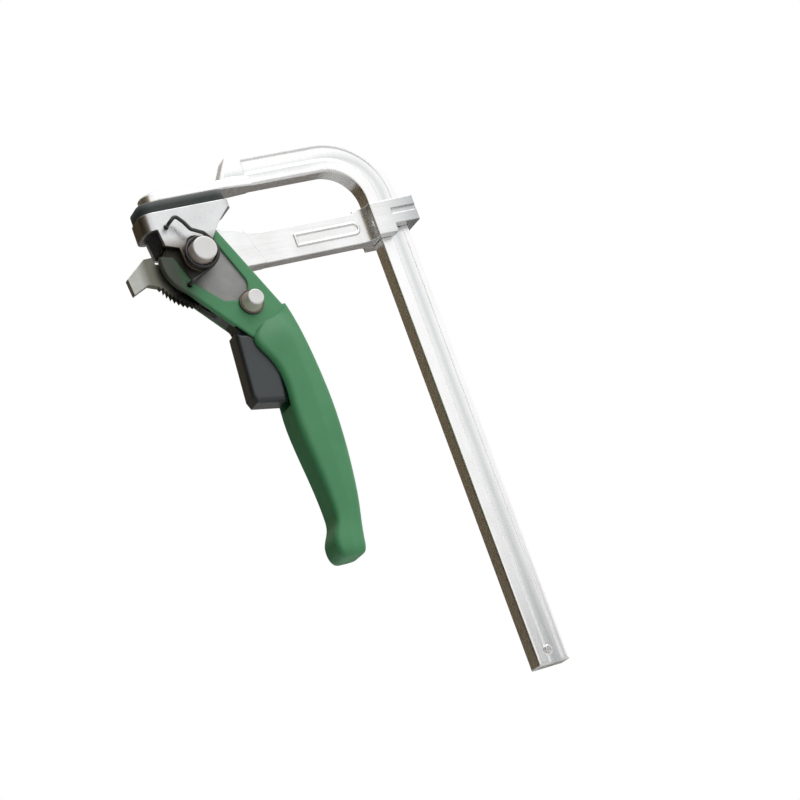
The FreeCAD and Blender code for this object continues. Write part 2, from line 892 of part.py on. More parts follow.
def lever_handle():
    front = prism(lever_head_view(), -lever_face, 0)
    head = front.fuse(prism(lever_head_view(lever_rear_inset), 0, lever_face))
    rim = [e for e in head.Edges if at_depth(e, lever_face)]
    head = head.makeFillet(lever_edge_radius, rim)
    handle = fuse(head, lever_grip())
    handle = handle.cut(cheek_solid(-cheek_outer, cheek_outer))
    handle = handle.cut(slab(fork_gap(), 2 * cheek_inner))
    window_floor = (cheek_inner + cheek_outer) / 2
    for window in pair(lambda: prism(window_view(), -lever_face - overrun, -window_floor)):
        handle = handle.cut(window)
    handle = handle.cut(slab(head_top_view(), 2 * lever_face + overrun))
    slot_half = trigger_width / 2 + running_gap
    handle = handle.cut(slab(trigger_slot(), 2 * slot_half))
    handle = handle.cut(rod((trigger_x, trigger_z), trigger_pin_radius, -grip_half_depth, grip_half_depth))
    for place in spacer_rivet_places():
        handle = handle.cut(rod(place, spacer_rivet_radius, -cheek_outer, cheek_outer))
    handle = handle.cut(spring_seat(slot_floor - overrun, slot_floor + return_spring_seat))
    return handle.cut(spring_low_hole())


def spring_seat(x_from, x_to):
    """A round pocket for the trigger's spring."""
    z = -pivot_drop - return_spring_drop
    radius = return_spring_radius + pocket_clearance
    return Part.makeCylinder(radius, x_to - x_from, point(x_from, z), FreeCAD.Vector(1, 0, 0))


def spacer_centre():
    x = (slot_floor + running_gap + cheek_tail_outer) / 2
    return x, -pivot_drop - spacer_drop - spacer_height / 2


def spacer_rivet_places():
    x, z = spacer_centre()
    return [(x, z + side * spacer_rivet_spacing / 2) for side in (-1, 1)]


def plate_spacer():
    x, z = spacer_centre()
    outer_x = cheek_tail_outer
    body = block(
        2 * x - outer_x,
        outer_x,
        -cheek_inner,
        cheek_inner,
        z - spacer_height / 2,
        z + spacer_height / 2,
    )
    for place in spacer_rivet_places():
        body = body.cut(rod(place, spacer_rivet_radius, -lever_face, lever_face))
    return body


def spacer_rivets():
    rivets = [rod(place, spacer_rivet_radius, -cheek_outer, cheek_outer) for place in spacer_rivet_places()]
    return Part.makeCompound(rivets)


# Pins, washers and clips

def headed_pin(place, shank_radius, head_radii, head_back, head_length, rear_end):
    """A pin with a tall, slightly tapered head in front and a plain chamfered end behind."""
    head_front = head_back - head_length
    x, z = place
    forward = FreeCAD.Vector(0, -1, 0)
    head = Part.makeCone(head_radii[0], head_radii[1], head_length, point(x, z, head_back), forward)
    head = head.makeFillet(head_dome, [e for e in head.Edges if is_ring_at(e, head_front)])
    shank = rod(place, shank_radius, head_back, rear_end)
    shank = shank.makeChamfer(pin_chamfer, [e for e in shank.Edges if is_ring_at(e, rear_end)])
    return fuse(head, shank)


def is_ring_at(edge, depth):
    """Whether an edge lies in the plane at this depth."""
    box = edge.BoundBox
    return box.YLength < sliver and abs(box.Center.y - depth) < sliver


def ring(place, inner_radius, outer_radius, y_from, y_to):
    return rod(place, outer_radius, y_from, y_to).cut(rod(place, inner_radius, y_from, y_to))


def clip_ring(place, inner_radius, outer_radius, y_from, y_to):
    """A spring clip: a ring with a gap at its lower side."""
    x, z = place
    gap = inner_radius * clip_opening_share
    opening = block(x - gap / 2, x + gap / 2, y_from, y_to, z - outer_radius - overrun, z)
    return ring(place, inner_radius, outer_radius, y_from, y_to).cut(opening)


pivot_washer_front = -shoe_face - side_gap - washer_thickness
pivot_clip_back = shoe_face + side_gap + clip_thickness
trigger_washer_front = -lever_face - trigger_washer_thickness
trigger_clip_back = lever_face + clip_thickness


def pivot_pin():
    return headed_pin(
        pivot,
        pivot_radius,
        (pivot_head_root_radius, pivot_head_radius),
        pivot_washer_front,
        pivot_head_length,
        pivot_clip_back + pivot_end_stand,
    )


def pivot_washer():
    return ring(pivot, pivot_radius, pivot_washer_radius, pivot_washer_front, -shoe_face - side_gap)


def pivot_clip():
    return clip_ring(pivot, pivot_radius, pivot_clip_radius, shoe_face + side_gap, pivot_clip_back)


def trigger_pin():
    return headed_pin(
        (trigger_x, trigger_z),
        trigger_pin_radius,
        (trigger_head_root_radius, trigger_head_radius),
        trigger_washer_front,
        trigger_head_length,
        trigger_clip_back + trigger_pin_stand,
    )


def trigger_pin_washer():
    place = (trigger_x, trigger_z)
    return ring(place, trigger_pin_radius, trigger_washer_radius, trigger_washer_front, -lever_face)


def trigger_pin_clip():
    place = (trigger_x, trigger_z)
    return clip_ring(place, trigger_pin_radius, trigger_clip_radius, lever_face, trigger_clip_back)


# Trigger and pawl

def trigger_boss_place():
    return trigger_x, trigger_z


def trigger_arm():
    """The boss on the trigger's pin, with an arm that straddles the sector's teeth and a stem below."""
    drop = -trigger_z - pivot_drop
    front_top, back_top = trigger_block_shape[0], trigger_block_shape[-1]
    foot_left = (front_top[0] + trigger_edge_radius, front_top[1] + trigger_edge_radius)
    foot_right = (back_top[0] - trigger_edge_radius, back_top[1] + trigger_edge_radius)
    places = (
        (trigger_x, drop - trigger_boss_radius),
        (trigger_x + trigger_boss_radius, drop),
        foot_right,
        foot_left,
    ) + trigger_arm_shape
    arm = slab(outline(*[below_pivot(place) for place in places]), trigger_arm_width)
    half = trigger_arm_width / 2
    return fuse(arm, rod(trigger_boss_place(), trigger_boss_radius, -half, half))


def trigger():
    half = trigger_width / 2
    body = slab(outline(*[below_pivot(place) for place in trigger_block_shape]), trigger_width)
    body = body.makeFillet(trigger_edge_radius, [e for e in body.Edges if at_depth(e, half)])
    solid = fuse(body, trigger_arm())
    slot_half = sector_thickness / 2 + running_gap
    solid = solid.cut(rod(pivot, sector_radius + pawl_gap, -slot_half, slot_half))
    solid = solid.cut(pawl_blank())
    solid = solid.cut(rod(trigger_boss_place(), trigger_pin_radius + shaft_clearance, -half, half))
    solid = solid.cut(rod(below_pivot(pawl_pin_place), pawl_pin_radius, -half, half))
    return solid.cut(spring_seat(trigger_back() - return_spring_pocket, slot_floor))


def trigger_back():
    """The X of the trigger's back where its spring meets it."""
    low, high = trigger_block_shape[-2:]
    return (low[0] + high[0]) / 2


def pawl_blank():
    """The pawl's plate: a hub on the trigger's pin and an arm with a nose for the ratchet's teeth."""
    nose_radius = sector_radius + pawl_gap
    arm = outline(
        round_pivot(nose_radius, pawl_nose_angle),
        below_pivot(pawl_tail),
        below_pivot(pawl_back),
        (trigger_x, trigger_z - pawl_hub_radius),
        (trigger_x, trigger_z + pawl_hub_radius),
        round_pivot(nose_radius + pawl_neck_height, pawl_neck_angle),
    )
    half = pawl_thickness / 2
    return fuse(rod(trigger_boss_place(), pawl_hub_radius, -half, half), slab(arm, pawl_thickness))


def pawl():
    half = pawl_thickness / 2
    plate = pawl_blank().cut(rod(trigger_boss_place(), trigger_pin_radius + shaft_clearance, -half, half))
    return plate.cut(rod(below_pivot(pawl_pin_place), pawl_pin_radius, -half, half))


def pawl_pin():
    half = trigger_arm_width / 2
    return rod(below_pivot(pawl_pin_place), pawl_pin_radius, -half, half)


def trigger_spring():
    z = -pivot_drop - return_spring_drop
    start = trigger_back() - return_spring_pocket
    length = slot_floor + return_spring_seat - start
    along = FreeCAD.Vector(1, 0, 0)
    tube = Part.makeCylinder(return_spring_radius, length, point(start, z), along)
    bore = Part.makeCylinder(return_spring_radius - return_spring_wire, length, point(start, z), along)
    return tube.cut(bore)


# Pressure shoe and pad

def shoe_side_view():
    """The cap from the front: deep cheeks that narrow to a tail round the pivot, and short end walls."""
    tail = -pivot_drop
    tail_radius = pivot_radius + side_gap + shoe_tail_wall
    return outline(
        (-shoe_left, -shoe_top),
        (-shoe_left, -shoe_left_wall_drop),
        (-shoe_cheek_left_top, -shoe_left_wall_drop),
        (-shoe_cheek_left_bottom, -shoe_cheek_left_drop),
        (-shoe_neck_half_width, -shoe_neck_drop),
        (-tail_radius, tail),
        ((0, tail - tail_radius), (tail_radius, tail)),
        (shoe_neck_half_width, -shoe_neck_drop),
        (shoe_cheek_right_bottom, -shoe_cheek_right_drop),
        (shoe_right - shoe_wall, -shoe_right_wall_drop),
        (shoe_right, -shoe_right_wall_drop),
        (shoe_right, -shoe_top),
    )


def pressure_shoe():
    low = -pivot_drop - pivot_radius - shoe_tail_wall - overrun
    radii = (shoe_corner_radius, shoe_corner_radius - shoe_wall)
    outer = plan_prism(-shoe_left, shoe_right, shoe_face, radii, low, -shoe_top)
    inner_radii = (shoe_corner_radius - shoe_wall, shoe_inner_corner_radius - shoe_wall)
    inner = plan_prism(
        -shoe_left + shoe_wall,
        shoe_right - shoe_wall,
        shoe_inner,
        inner_radii,
        low - overrun,
        -shoe_ceiling,
    )
    shoe = outer.cut(inner).common(slab(shoe_side_view(), 2 * shoe_face + overrun))
    slot_half = pivot_radius + side_gap
    slot = fuse(
        rod(pivot, slot_half, -shoe_face - overrun, shoe_face + overrun),
        rod((0, -pivot_drop + shoe_travel), slot_half, -shoe_face - overrun, shoe_face + overrun),
        block(
            -slot_half,
            slot_half,
            -shoe_face - overrun,
            shoe_face + overrun,
            -pivot_drop,
            -pivot_drop + shoe_travel,
        ),
    )
    shoe = shoe.cut(slot)
    for x in (-pad_stud_left, pad_stud_right):
        shoe = shoe.cut(pad_stud(x, overrun))
    hole = spring_wire_radius + spring_hole_clearance
    return shoe.cut(rod(below_pivot(spring_leg_high[-1]), hole, -shoe_face - overrun, -shoe_inner + side_gap))


def pad_stud(x, extra=0):
    top = -shoe_top
    return Part.makeCylinder(
        pad_stud_radius,
        shoe_roof + 2 * extra,
        point(x, top - shoe_roof - extra),
        FreeCAD.Vector(0, 0, 1),
    )


def pad_studs():
    return Part.makeCompound([pad_stud(x) for x in (-pad_stud_left, pad_stud_right)])


def pressure_pad():
    radii = (pad_corner_radius, pad_corner_radius)
    pad = plan_prism(-pad_left, pad_right, pad_width / 2, radii, -shoe_top, -shoe_gap)
    rim = [e for e in pad.Edges if abs(e.BoundBox.ZMin + shoe_gap) < sliver]
    return pad.makeFillet(pad_edge_radius, rim)


# Lever spring

def biarc(start, start_way, end, end_way):
    """Two arcs that leave start and reach end along the given ways, and meet smoothly."""
    span = end.sub(start)
    ways = start_way.add(end_way)
    spread = 2 * (1 - start_way.dot(end_way))
    lead = span.dot(ways)
    reach = (math.sqrt(lead * lead + spread * span.dot(span)) - lead) / spread
    first = start.add(FreeCAD.Vector(start_way).multiply(reach))
    second = end.sub(FreeCAD.Vector(end_way).multiply(reach))
    middle = first.add(second).multiply(1 / 2)
    return [corner_arc(start, first, middle), corner_arc(middle, second, end)]


def corner_arc(start, corner, end):
    """The arc that touches the two lines from a corner at start and at end."""
    base = start.add(end).multiply(1 / 2)
    rise = corner.sub(base)
    half_chord = end.sub(start).Length / 2
    half_turn = math.atan2(rise.Length, half_chord)
    sagitta = half_chord * math.tan(half_turn / 2)
    top = base.add(FreeCAD.Vector(rise).normalize().multiply(sagitta))
    return Part.Arc(start, top, end).toShape()


def coil_point(degrees, depth):
    x, z = round_pivot(spring_coil_radius, degrees)
    return point(x, z, depth)


def coil_way(degrees):
    """The direction in which the wire runs at an angle round the coil."""
    turn = math.radians(degrees)
    return FreeCAD.Vector(-math.sin(turn), -coil_rise(), math.cos(turn)).normalize()


def coil_rise():
    """How far the wire comes forward for each unit of its way round the coil."""
    return spring_pitch / (2 * math.pi * spring_coil_radius)


def coil_touch(place, side):
    """The angle at which a straight leg from a place meets the coil, and the leg's length."""
    x, drop = place
    distance = math.hypot(x, drop)
    angle = math.degrees(math.atan2(-drop, x))
    opening = math.degrees(math.acos(spring_coil_radius / distance))
    length = math.sqrt(distance * distance - spring_coil_radius * spring_coil_radius)
    return angle + side * opening, length


spring_back_depth = -shoe_face - side_gap - washer_thickness - spring_wire_radius - spring_stand


def spring_route():
    """The wire's middle line: a leg in the rim, the coil, and a leg that hooks into the shoe."""
    first_angle, low_length = coil_touch(spring_leg_low, 1)
    last_angle, high_length = coil_touch(spring_leg_high[0], -1)
    last_angle += full_turn * spring_full_turns
    turn_angle = last_angle - first_angle
    low_x, low_z = below_pivot(spring_leg_low)
    low_end = point(low_x, low_z, -cheek_outer)
    low_corner = point(low_x, low_z, spring_back_depth + coil_rise() * low_length)
    start = coil_point(first_angle, spring_back_depth)
    edges = rounded_route([low_end, low_corner, start], spring_bend_radius)
    steps = math.ceil(turn_angle / quarter_turn)
    run = spring_pitch * turn_angle / full_turn
    front_depth = spring_back_depth - run
    for index in range(steps):
        shares = (index / steps, (index + 1) / steps)
        angles = [first_angle + turn_angle * share for share in shares]
        depths = [spring_back_depth - run * share for share in shares]
        edges += biarc(
            coil_point(angles[0], depths[0]),
            coil_way(angles[0]),
            coil_point(angles[1], depths[1]),
            coil_way(angles[1]),
        )
    end = coil_point(last_angle, front_depth)
    leg_depth = front_depth - coil_rise() * high_length
    high = [point(x, -pivot_drop - drop, leg_depth) for x, drop in spring_leg_high]
    hook_end = point(high[-1].x, high[-1].z, -shoe_inner)
    edges += rounded_route([end] + high + [hook_end], spring_bend_radius)
    return edges


def rounded_route(places, radius):
    """Straight runs joined by arcs of one radius."""
    edges = []
    here = places[0]
    for index in range(1, len(places) - 1):
        corner = places[index]
        back = places[index - 1].sub(corner).normalize()
        onward = places[index + 1].sub(corner).normalize()
        half_angle = back.getAngle(onward) / 2
        reach = radius / math.tan(half_angle)
        arc_start = corner.add(FreeCAD.Vector(back).multiply(reach))
        arc_end = corner.add(FreeCAD.Vector(onward).multiply(reach))
        edges.append(Part.makeLine(here, arc_start))
        edges.append(corner_arc(arc_start, corner, arc_end))
        here = arc_end
    edges.append(Part.makeLine(here, places[-1]))
    return edges


def spring_low_hole():
    """The hole in the moulding's rim that holds the spring's lower leg."""
    hole = spring_wire_radius + spring_hole_clearance
    return rod(below_pivot(spring_leg_low), hole, -lever_face - overrun, -cheek_outer)


def least_gap(edges):
    """The smallest space between two stretches of the wire that aren't neighbours along it."""
    places = []
    run = 0
    for edge in edges:
        step = edge.Length / gap_samples
        for index in range(gap_samples):
            here = edge.valueAt(edge.getParameterByLength(step * index))
            places.append((run + step * index, here))
        run += edge.Length
    skip = gap_skip_factor * spring_bend_radius
    gaps = [
        here.distanceToPoint(there)
        for place, here in places
        for other, there in places
        if other - place > skip
    ]
    return min(gaps) - 2 * spring_wire_radius


def lever_spring():
    route = spring_route()
    print("lever spring, least gap to itself", round(least_gap(route), gap_digits))
    spine = Part.Wire(route)
    first = spine.Edges[0]
    start = first.valueAt(first.FirstParameter)
    way = first.tangentAt(first.FirstParameter)
    ring_edge = Part.makeCircle(spring_wire_radius, start, way)
    return spine.makePipeShell([Part.Wire(ring_edge)], True, False)


# Nodes

nodes = {
    "rail_bar": rail_bar,
    "rail_stop_pin": rail_stop_pin,
    "sliding_arm": sliding_arm,
    "ratchet_sector": ratchet_sector,
    "sector_rivets": sector_rivets,
    "lever_handle": lever_handle,
    "lever_plate_front": lambda: lever_plate(True),
    "lever_plate_rear": lambda: lever_plate(False),
    "plate_spacer": plate_spacer,
    "spacer_rivets": spacer_rivets,
    "pivot_pin": pivot_pin,
    "pivot_washer": pivot_washer,
    "pivot_clip": pivot_clip,
    "lever_spring": lever_spring,
    "trigger_pin": trigger_pin,
    "trigger_pin_washer": trigger_pin_washer,
    "trigger_pin_clip": trigger_pin_clip,
    "trigger": trigger,
    "pawl": pawl,
    "pawl_pin": pawl_pin,
    "trigger_spring": trigger_spring,
    "pressure_shoe": pressure_shoe,
    "pressure_pad": pressure_pad,
    "pad_studs": pad_studs,
}

os.makedirs("parts", exist_ok=True)
for name, make in nodes.items():
    shape = make()
    print(name, len(shape.Solids), shape.isValid(), round(shape.Volume, 1))
    shape.exportStep(os.path.join("parts", name + ".step"))
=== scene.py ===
import math

import bpy
from mathutils import Matrix, Vector


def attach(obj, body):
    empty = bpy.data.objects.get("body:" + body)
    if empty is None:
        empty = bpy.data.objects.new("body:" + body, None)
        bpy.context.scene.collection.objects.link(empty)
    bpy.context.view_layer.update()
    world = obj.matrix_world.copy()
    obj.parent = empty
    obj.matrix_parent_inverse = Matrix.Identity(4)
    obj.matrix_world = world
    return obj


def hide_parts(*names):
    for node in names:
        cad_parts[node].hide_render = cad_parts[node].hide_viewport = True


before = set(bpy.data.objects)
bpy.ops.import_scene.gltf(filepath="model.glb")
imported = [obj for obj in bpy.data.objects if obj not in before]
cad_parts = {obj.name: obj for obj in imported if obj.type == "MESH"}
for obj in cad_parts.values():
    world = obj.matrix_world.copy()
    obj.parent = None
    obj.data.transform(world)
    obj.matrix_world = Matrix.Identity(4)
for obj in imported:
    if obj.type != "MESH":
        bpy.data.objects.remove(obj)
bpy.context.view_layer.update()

# The photograph's view: angles in degrees, lengths in metres
camera_yaw = 27.07
camera_pitch = 13.33
camera_roll = 20.14
camera_distance = 1.0
camera_target = Vector((0.0655, 0.0021, -0.0985))
camera_lens = 113.7
sensor_width = 36

# Studio
floor_height = -0.42
floor_size = 6.0
floor_colour = (0.85, 0.85, 0.84)
key_place = Vector((0.6, -0.95, 1.35))
key_size = 1.3
key_power = 9.5
room_light = 0.62
flag_colour = (0.30, 0.24, 0.155)
back_flag_colour = (0.10, 0.075, 0.052)
shade_colour = (0.02, 0.02, 0.02)
card_colour = (0.50, 0.51, 0.53)
card_roughness = 0.9
white = (1, 1, 1, 1)
left_card_x = -0.6
left_card_start = -0.75
back_card_y = 1.3
side_card_low = -0.30
shade_low = -0.32
shade_x = -0.35

# Rail's channel, along which a painted shade runs: the bend's centre (x, z), and how far from it the
# channel's middle runs
bend_centre = (0.0645, -0.015)
channel_jaw_reach = 0.0197
channel_rail_reach = 0.0228
channel_turn = (0.060, 0.082)
channel_half_width = 0.0028

# Lever spring, as the CAD has it
pivot_drop = 0.0262
cheek_depth = 0.0053
shoe_inner_depth = 0.0067
wire_radius = 0.00075
coil_radius = 0.0063
coil_pitch = 0.00205
coil_back = -0.0101
wire_bend = 0.0015
leg_low = (-0.0072, 0.0104)
leg_high = (
    (0.0026, -0.0072),
    (-0.0020, -0.0096),
    (-0.0039, -0.0130),
    (-0.0065, -0.0162),
    (-0.0094, -0.0139),
)
wire_sides = 20
bend_steps = 10
turn_steps = 64

# Grain of the materials: noise scales per metre, bump depths in metres
noise_low = 0.3
noise_high = 0.7
metal_cloud_scale = 90
plastic_cloud_scale = 60
cloud_detail = 4
metal_grain_detail = 3
plastic_grain_detail = 2
metal_bump = 0.0001
plastic_bump = 0.0002
coat_roughness = 0.3
edge_samples = 8

# Sockets of a Mix node that mixes colours
mix_share = 0
mix_first = 6
mix_second = 7
mix_result = 2


# Materials

def new_material(name):
    material = bpy.data.materials.new(name)
    material.use_nodes = True
    nodes = material.node_tree.nodes
    return material, nodes, material.node_tree.links, nodes["Principled BSDF"]


def texture(nodes, links, kind, scale, stretch=(1, 1, 1)):
    """A texture on the piece's own coordinates, stretched along the axes."""
    place = nodes.new("ShaderNodeTexCoord")
    mapping = nodes.new("ShaderNodeMapping")
    mapping.inputs["Scale"].default_value = stretch
    links.new(place.outputs["Object"], mapping.inputs["Vector"])
    node = nodes.new(kind)
    node.inputs["Scale"].default_value = scale
    links.new(mapping.outputs["Vector"], node.inputs["Vector"])
    return node


def spread(nodes, links, value, low, high, from_low=noise_low, from_high=noise_high):
    """The value, carried from its usual range to another."""
    node = nodes.new("ShaderNodeMapRange")
    node.inputs["From Min"].default_value = from_low
    node.inputs["From Max"].default_value = from_high
    node.inputs["To Min"].default_value = low
    node.inputs["To Max"].default_value = high
    links.new(value, node.inputs["Value"])
    return node.outputs["Result"]


def tint(nodes, links, value, dark, light):
    """A colour between two, chosen by the value. Either colour may be another node's output."""
    node = nodes.new("ShaderNodeMix")
    node.data_type = "RGBA"
    for index, colour in ((mix_first, dark), (mix_second, light)):
        if isinstance(colour, tuple):
            node.inputs[index].default_value = (*colour, 1)
        else:
            links.new(colour, node.inputs[index])
    links.new(value, node.inputs[mix_share])
    return node.outputs[mix_result]


def soft_edges(nodes, radius):
    node = nodes.new("ShaderNodeBevel")
    node.samples = edge_samples
    node.inputs["Radius"].default_value = radius
    return node.outputs["Normal"]


def bump(nodes, links, height, strength, distance, under=None):
    node = nodes.new("ShaderNodeBump")
    node.inputs["Strength"].default_value = strength
    node.inputs["Distance"].default_value = distance
    links.new(height, node.inputs["Height"])
    if under is not None:
        links.new(under, node.inputs["Normal"])
    return node.outputs["Normal"]


def own_place(nodes, links):
    """The place on the piece, as three values."""
    place = nodes.new("ShaderNodeTexCoord")
    split = nodes.new("ShaderNodeSeparateXYZ")
    links.new(place.outputs["Object"], split.inputs[0])
    return split.outputs


def along_axis(nodes, links, axis, low, high):
    """0 at one place along an axis and 1 at another."""
    return spread(nodes, links, own_place(nodes, links)[axis], 0, 1, low, high)


def faded(nodes, links, colour, fades):
    """The colour, carried for each fade to its far colour, reached at the first of two places on an axis."""
    for axis, low, high, far_colour in fades:
        colour = tint(nodes, links, along_axis(nodes, links, axis, low, high), far_colour, colour)
    return colour


def math_node(nodes, links, operation, first, second):
    """The result of an operation on two values, each a number or another node's output."""
    node = nodes.new("ShaderNodeMath")
    node.operation = operation
    for index, value in enumerate((first, second)):
        if isinstance(value, (int, float)):
            node.inputs[index].default_value = value
        else:
            links.new(value, node.inputs[index])
    return node.outputs[0]


def channel_painted_shade(nodes, links, colour, shade_tone):
    """The colour, darker along the middle of the rail's channel, which follows the bend: a painted shade of
    the channel's hollow.
    """
    place = own_place(nodes, links)
    bend_x, bend_z = bend_centre
    across = math_node(nodes, links, "SUBTRACT", place["X"], bend_x)
    above = math_node(nodes, links, "SUBTRACT", place["Z"], bend_z)
    run = nodes.new("ShaderNodeCombineXYZ")
    links.new(math_node(nodes, links, "MAXIMUM", across, 0), run.inputs[0])
    links.new(math_node(nodes, links, "MAXIMUM", above, 0), run.inputs[1])
    length = nodes.new("ShaderNodeVectorMath")
    length.operation = "LENGTH"
    links.new(run.outputs[0], length.inputs[0])
    middle = spread(nodes, links, place["X"], channel_jaw_reach, channel_rail_reach, *channel_turn)
    offset = math_node(nodes, links, "SUBTRACT", length.outputs["Value"], middle)
    aside = math_node(nodes, links, "ABSOLUTE", offset, 0)
    value = spread(nodes, links, aside, 0, 1, 0, channel_half_width)
    return tint(nodes, links, value, shade_tone, colour)


def metal(name, dark, light, rough, grain, edge, stretch, brush, metallic=1, fades=(), channel_shade_tone=None):
    """Metal with cloudy variation, fine brushing and softened edges, carrying the painted shade and painted
    reflections of its fades and of the rail's channel.
    """
    material, nodes, links, shader = new_material(name)
    clouds = texture(nodes, links, "ShaderNodeTexNoise", metal_cloud_scale)
    clouds.inputs["Detail"].default_value = cloud_detail
    fine = texture(nodes, links, "ShaderNodeTexNoise", grain, stretch)
    fine.inputs["Detail"].default_value = metal_grain_detail
    value = spread(nodes, links, clouds.outputs["Fac"], 0, 1)
    colour = faded(nodes, links, tint(nodes, links, value, dark, light), fades)
    if channel_shade_tone is not None:
        colour = channel_painted_shade(nodes, links, colour, channel_shade_tone)
    links.new(colour, shader.inputs["Base Color"])
    shader.inputs["Metallic"].default_value = metallic
    links.new(spread(nodes, links, fine.outputs["Fac"], *rough), shader.inputs["Roughness"])
    normal = bump(nodes, links, fine.outputs["Fac"], brush, metal_bump, soft_edges(nodes, edge))
    links.new(normal, shader.inputs["Normal"])
    return material


def plastic(name, dark, light, rough, grain, edge, depth, coat=0, fades=()):
    """Moulded plastic with a fine grain and slight mottling."""
    material, nodes, links, shader = new_material(name)
    clouds = texture(nodes, links, "ShaderNodeTexNoise", plastic_cloud_scale)
    clouds.inputs["Detail"].default_value = cloud_detail
    fine = texture(nodes, links, "ShaderNodeTexNoise", grain)
    fine.inputs["Detail"].default_value = plastic_grain_detail
    value = spread(nodes, links, clouds.outputs["Fac"], 0, 1)
    colour = faded(nodes, links, tint(nodes, links, value, dark, light), fades)
    links.new(colour, shader.inputs["Base Color"])
    links.new(spread(nodes, links, fine.outputs["Fac"], *rough), shader.inputs["Roughness"])
    shader.inputs["Coat Weight"].default_value = coat
    shader.inputs["Coat Roughness"].default_value = coat_roughness
    normal = bump(nodes, links, fine.outputs["Fac"], depth, plastic_bump, soft_edges(nodes, edge))
    links.new(normal, shader.inputs["Normal"])
    return material


# How the grain is stretched, axis by axis
along_rail = (1, 1, 0.05)
along_arm = (0.05, 1, 1)
even = (1, 1, 1)

# Painted shade and painted reflections toward one end of a part, and the pad lighter towards its top: axis,
# where the far colour is reached, where it starts, far colour
# Painted shade on the ratchet sector: near black at the teeth, and darker everywhere away from its tab
teeth_painted_shade = ("Z", -0.0385, -0.0345, (0.030, 0.029, 0.026))
off_tab_painted_shade = ("X", -0.0200, -0.0240, (0.17, 0.17, 0.14))
# Painted shade on the pressure shoe's left end wall, and a painted shadow and dark reflection of the coil
# and pin head on its tail below the pivot
shoe_end_painted_shade = ("X", -0.0178, -0.0152, (0.22, 0.205, 0.18))
shoe_tail_painted_shadow = ("Z", -0.0215, -0.0165, (0.20, 0.17, 0.14))
# Painted shade on the lever's steel cheeks, darker to the left of the pivot
cheek_painted_shade = ("X", -0.0060, 0.0, (0.06, 0.055, 0.045))
# Painted shade at the upper-left end of the green moulding's head, dark olive
head_tip_painted_shade = ("X", -0.0110, -0.0030, (0.055, 0.070, 0.045))
# Painted reflection: the pin heads' sides turn beige behind their white front faces
pin_side_reflection_colour = (0.86, 0.74, 0.66)
pivot_side_painted_reflection = ("Y", -0.0153, -0.0159, pin_side_reflection_colour)
trigger_pin_side_painted_reflection = ("Y", -0.0120, -0.0126, pin_side_reflection_colour)
# Painted shade on the sliding arm's collar, greyer toward its right end
collar_painted_shade = ("X", 0.0985, 0.0790, (0.46, 0.475, 0.49))
pad_fade = ("Z", -0.0006, -0.0030, (0.20, 0.21, 0.21))

pin_colours = {"dark": (0.86, 0.85, 0.84), "light": (0.94, 0.935, 0.93)}
pin_grain = {"grain": 1500, "edge": 0.0003, "stretch": even, "brush": 0.015}
pin_head = {**pin_colours, **pin_grain, "rough": (0.16, 0.26), "metallic": 0.25}
plain_brush = {"stretch": even, "brush": 0.04}
metals = {
    "bright_rail": {
        "dark": (0.92, 0.92, 0.915),
        "light": (0.97, 0.972, 0.97),
        "rough": (0.20, 0.30),
        "grain": 1600,
        "edge": 0.0012,
        "stretch": along_rail,
        "brush": 0.03,
        # Painted shade of the channel's hollow: a darker band along its middle
        "channel_shade_tone": (0.70, 0.715, 0.72),
    },
    "bright_arm": {
        "dark": (0.78, 0.78, 0.77),
        "light": (0.88, 0.885, 0.885),
        "rough": (0.24, 0.36),
        "grain": 1600,
        "edge": 0.0006,
        "stretch": along_arm,
        "brush": 0.03,
        "fades": (collar_painted_shade,),
    },
    "bright_sheet": {
        "dark": (0.62, 0.625, 0.63),
        "light": (0.72, 0.725, 0.73),
        "rough": (0.26, 0.38),
        "grain": 1500,
        "edge": 0.0004,
        "stretch": even,
        "brush": 0.03,
        "fades": (shoe_end_painted_shade, shoe_tail_painted_shadow),
    },
    "ratchet_steel": {
        "dark": (0.38, 0.39, 0.36),
        "light": (0.50, 0.51, 0.47),
        "rough": (0.34, 0.5),
        "grain": 1800,
        "edge": 0.0003,
        "stretch": even,
        "brush": 0.05,
        "fades": (off_tab_painted_shade, teeth_painted_shade),
    },
    "cheek_steel": {
        "dark": (0.25, 0.25, 0.245),
        "light": (0.31, 0.31, 0.30),
        "rough": (0.48, 0.62),
        "grain": 2400,
        "edge": 0.0003,
        "fades": (cheek_painted_shade,),
        **plain_brush,
    },
    "pivot_steel": {**pin_head, "fades": (pivot_side_painted_reflection,)},
    "trigger_pin_steel": {**pin_head, "fades": (trigger_pin_side_painted_reflection,)},
    "pin_steel": {**pin_colours, **pin_grain, "rough": (0.12, 0.2)},
    "washer_steel": {
        "dark": (0.10, 0.085, 0.07),
        "light": (0.16, 0.14, 0.12),
        "rough": (0.35, 0.5),
        "grain": 1500,
        "edge": 0.0002,
        **plain_brush,
    },
    "clip_steel": {
        "dark": (0.07, 0.07, 0.075),
        "light": (0.12, 0.12, 0.125),
        "rough": (0.35, 0.5),
        "grain": 1800,
        "edge": 0.0002,
        **plain_brush,
    },
    "pawl_steel": {
        "dark": (0.03, 0.03, 0.028),
        "light": (0.06, 0.06, 0.055),
        "rough": (0.4, 0.6),
        "grain": 1500,
        "edge": 0.0003,
        **plain_brush,
    },
    "spring_steel": {
        "dark": (0.045, 0.045, 0.047),
        "light": (0.09, 0.09, 0.094),
        "rough": (0.28, 0.4),
        "grain": 1500,
        "edge": 0.0001,
        **plain_brush,
    },
}
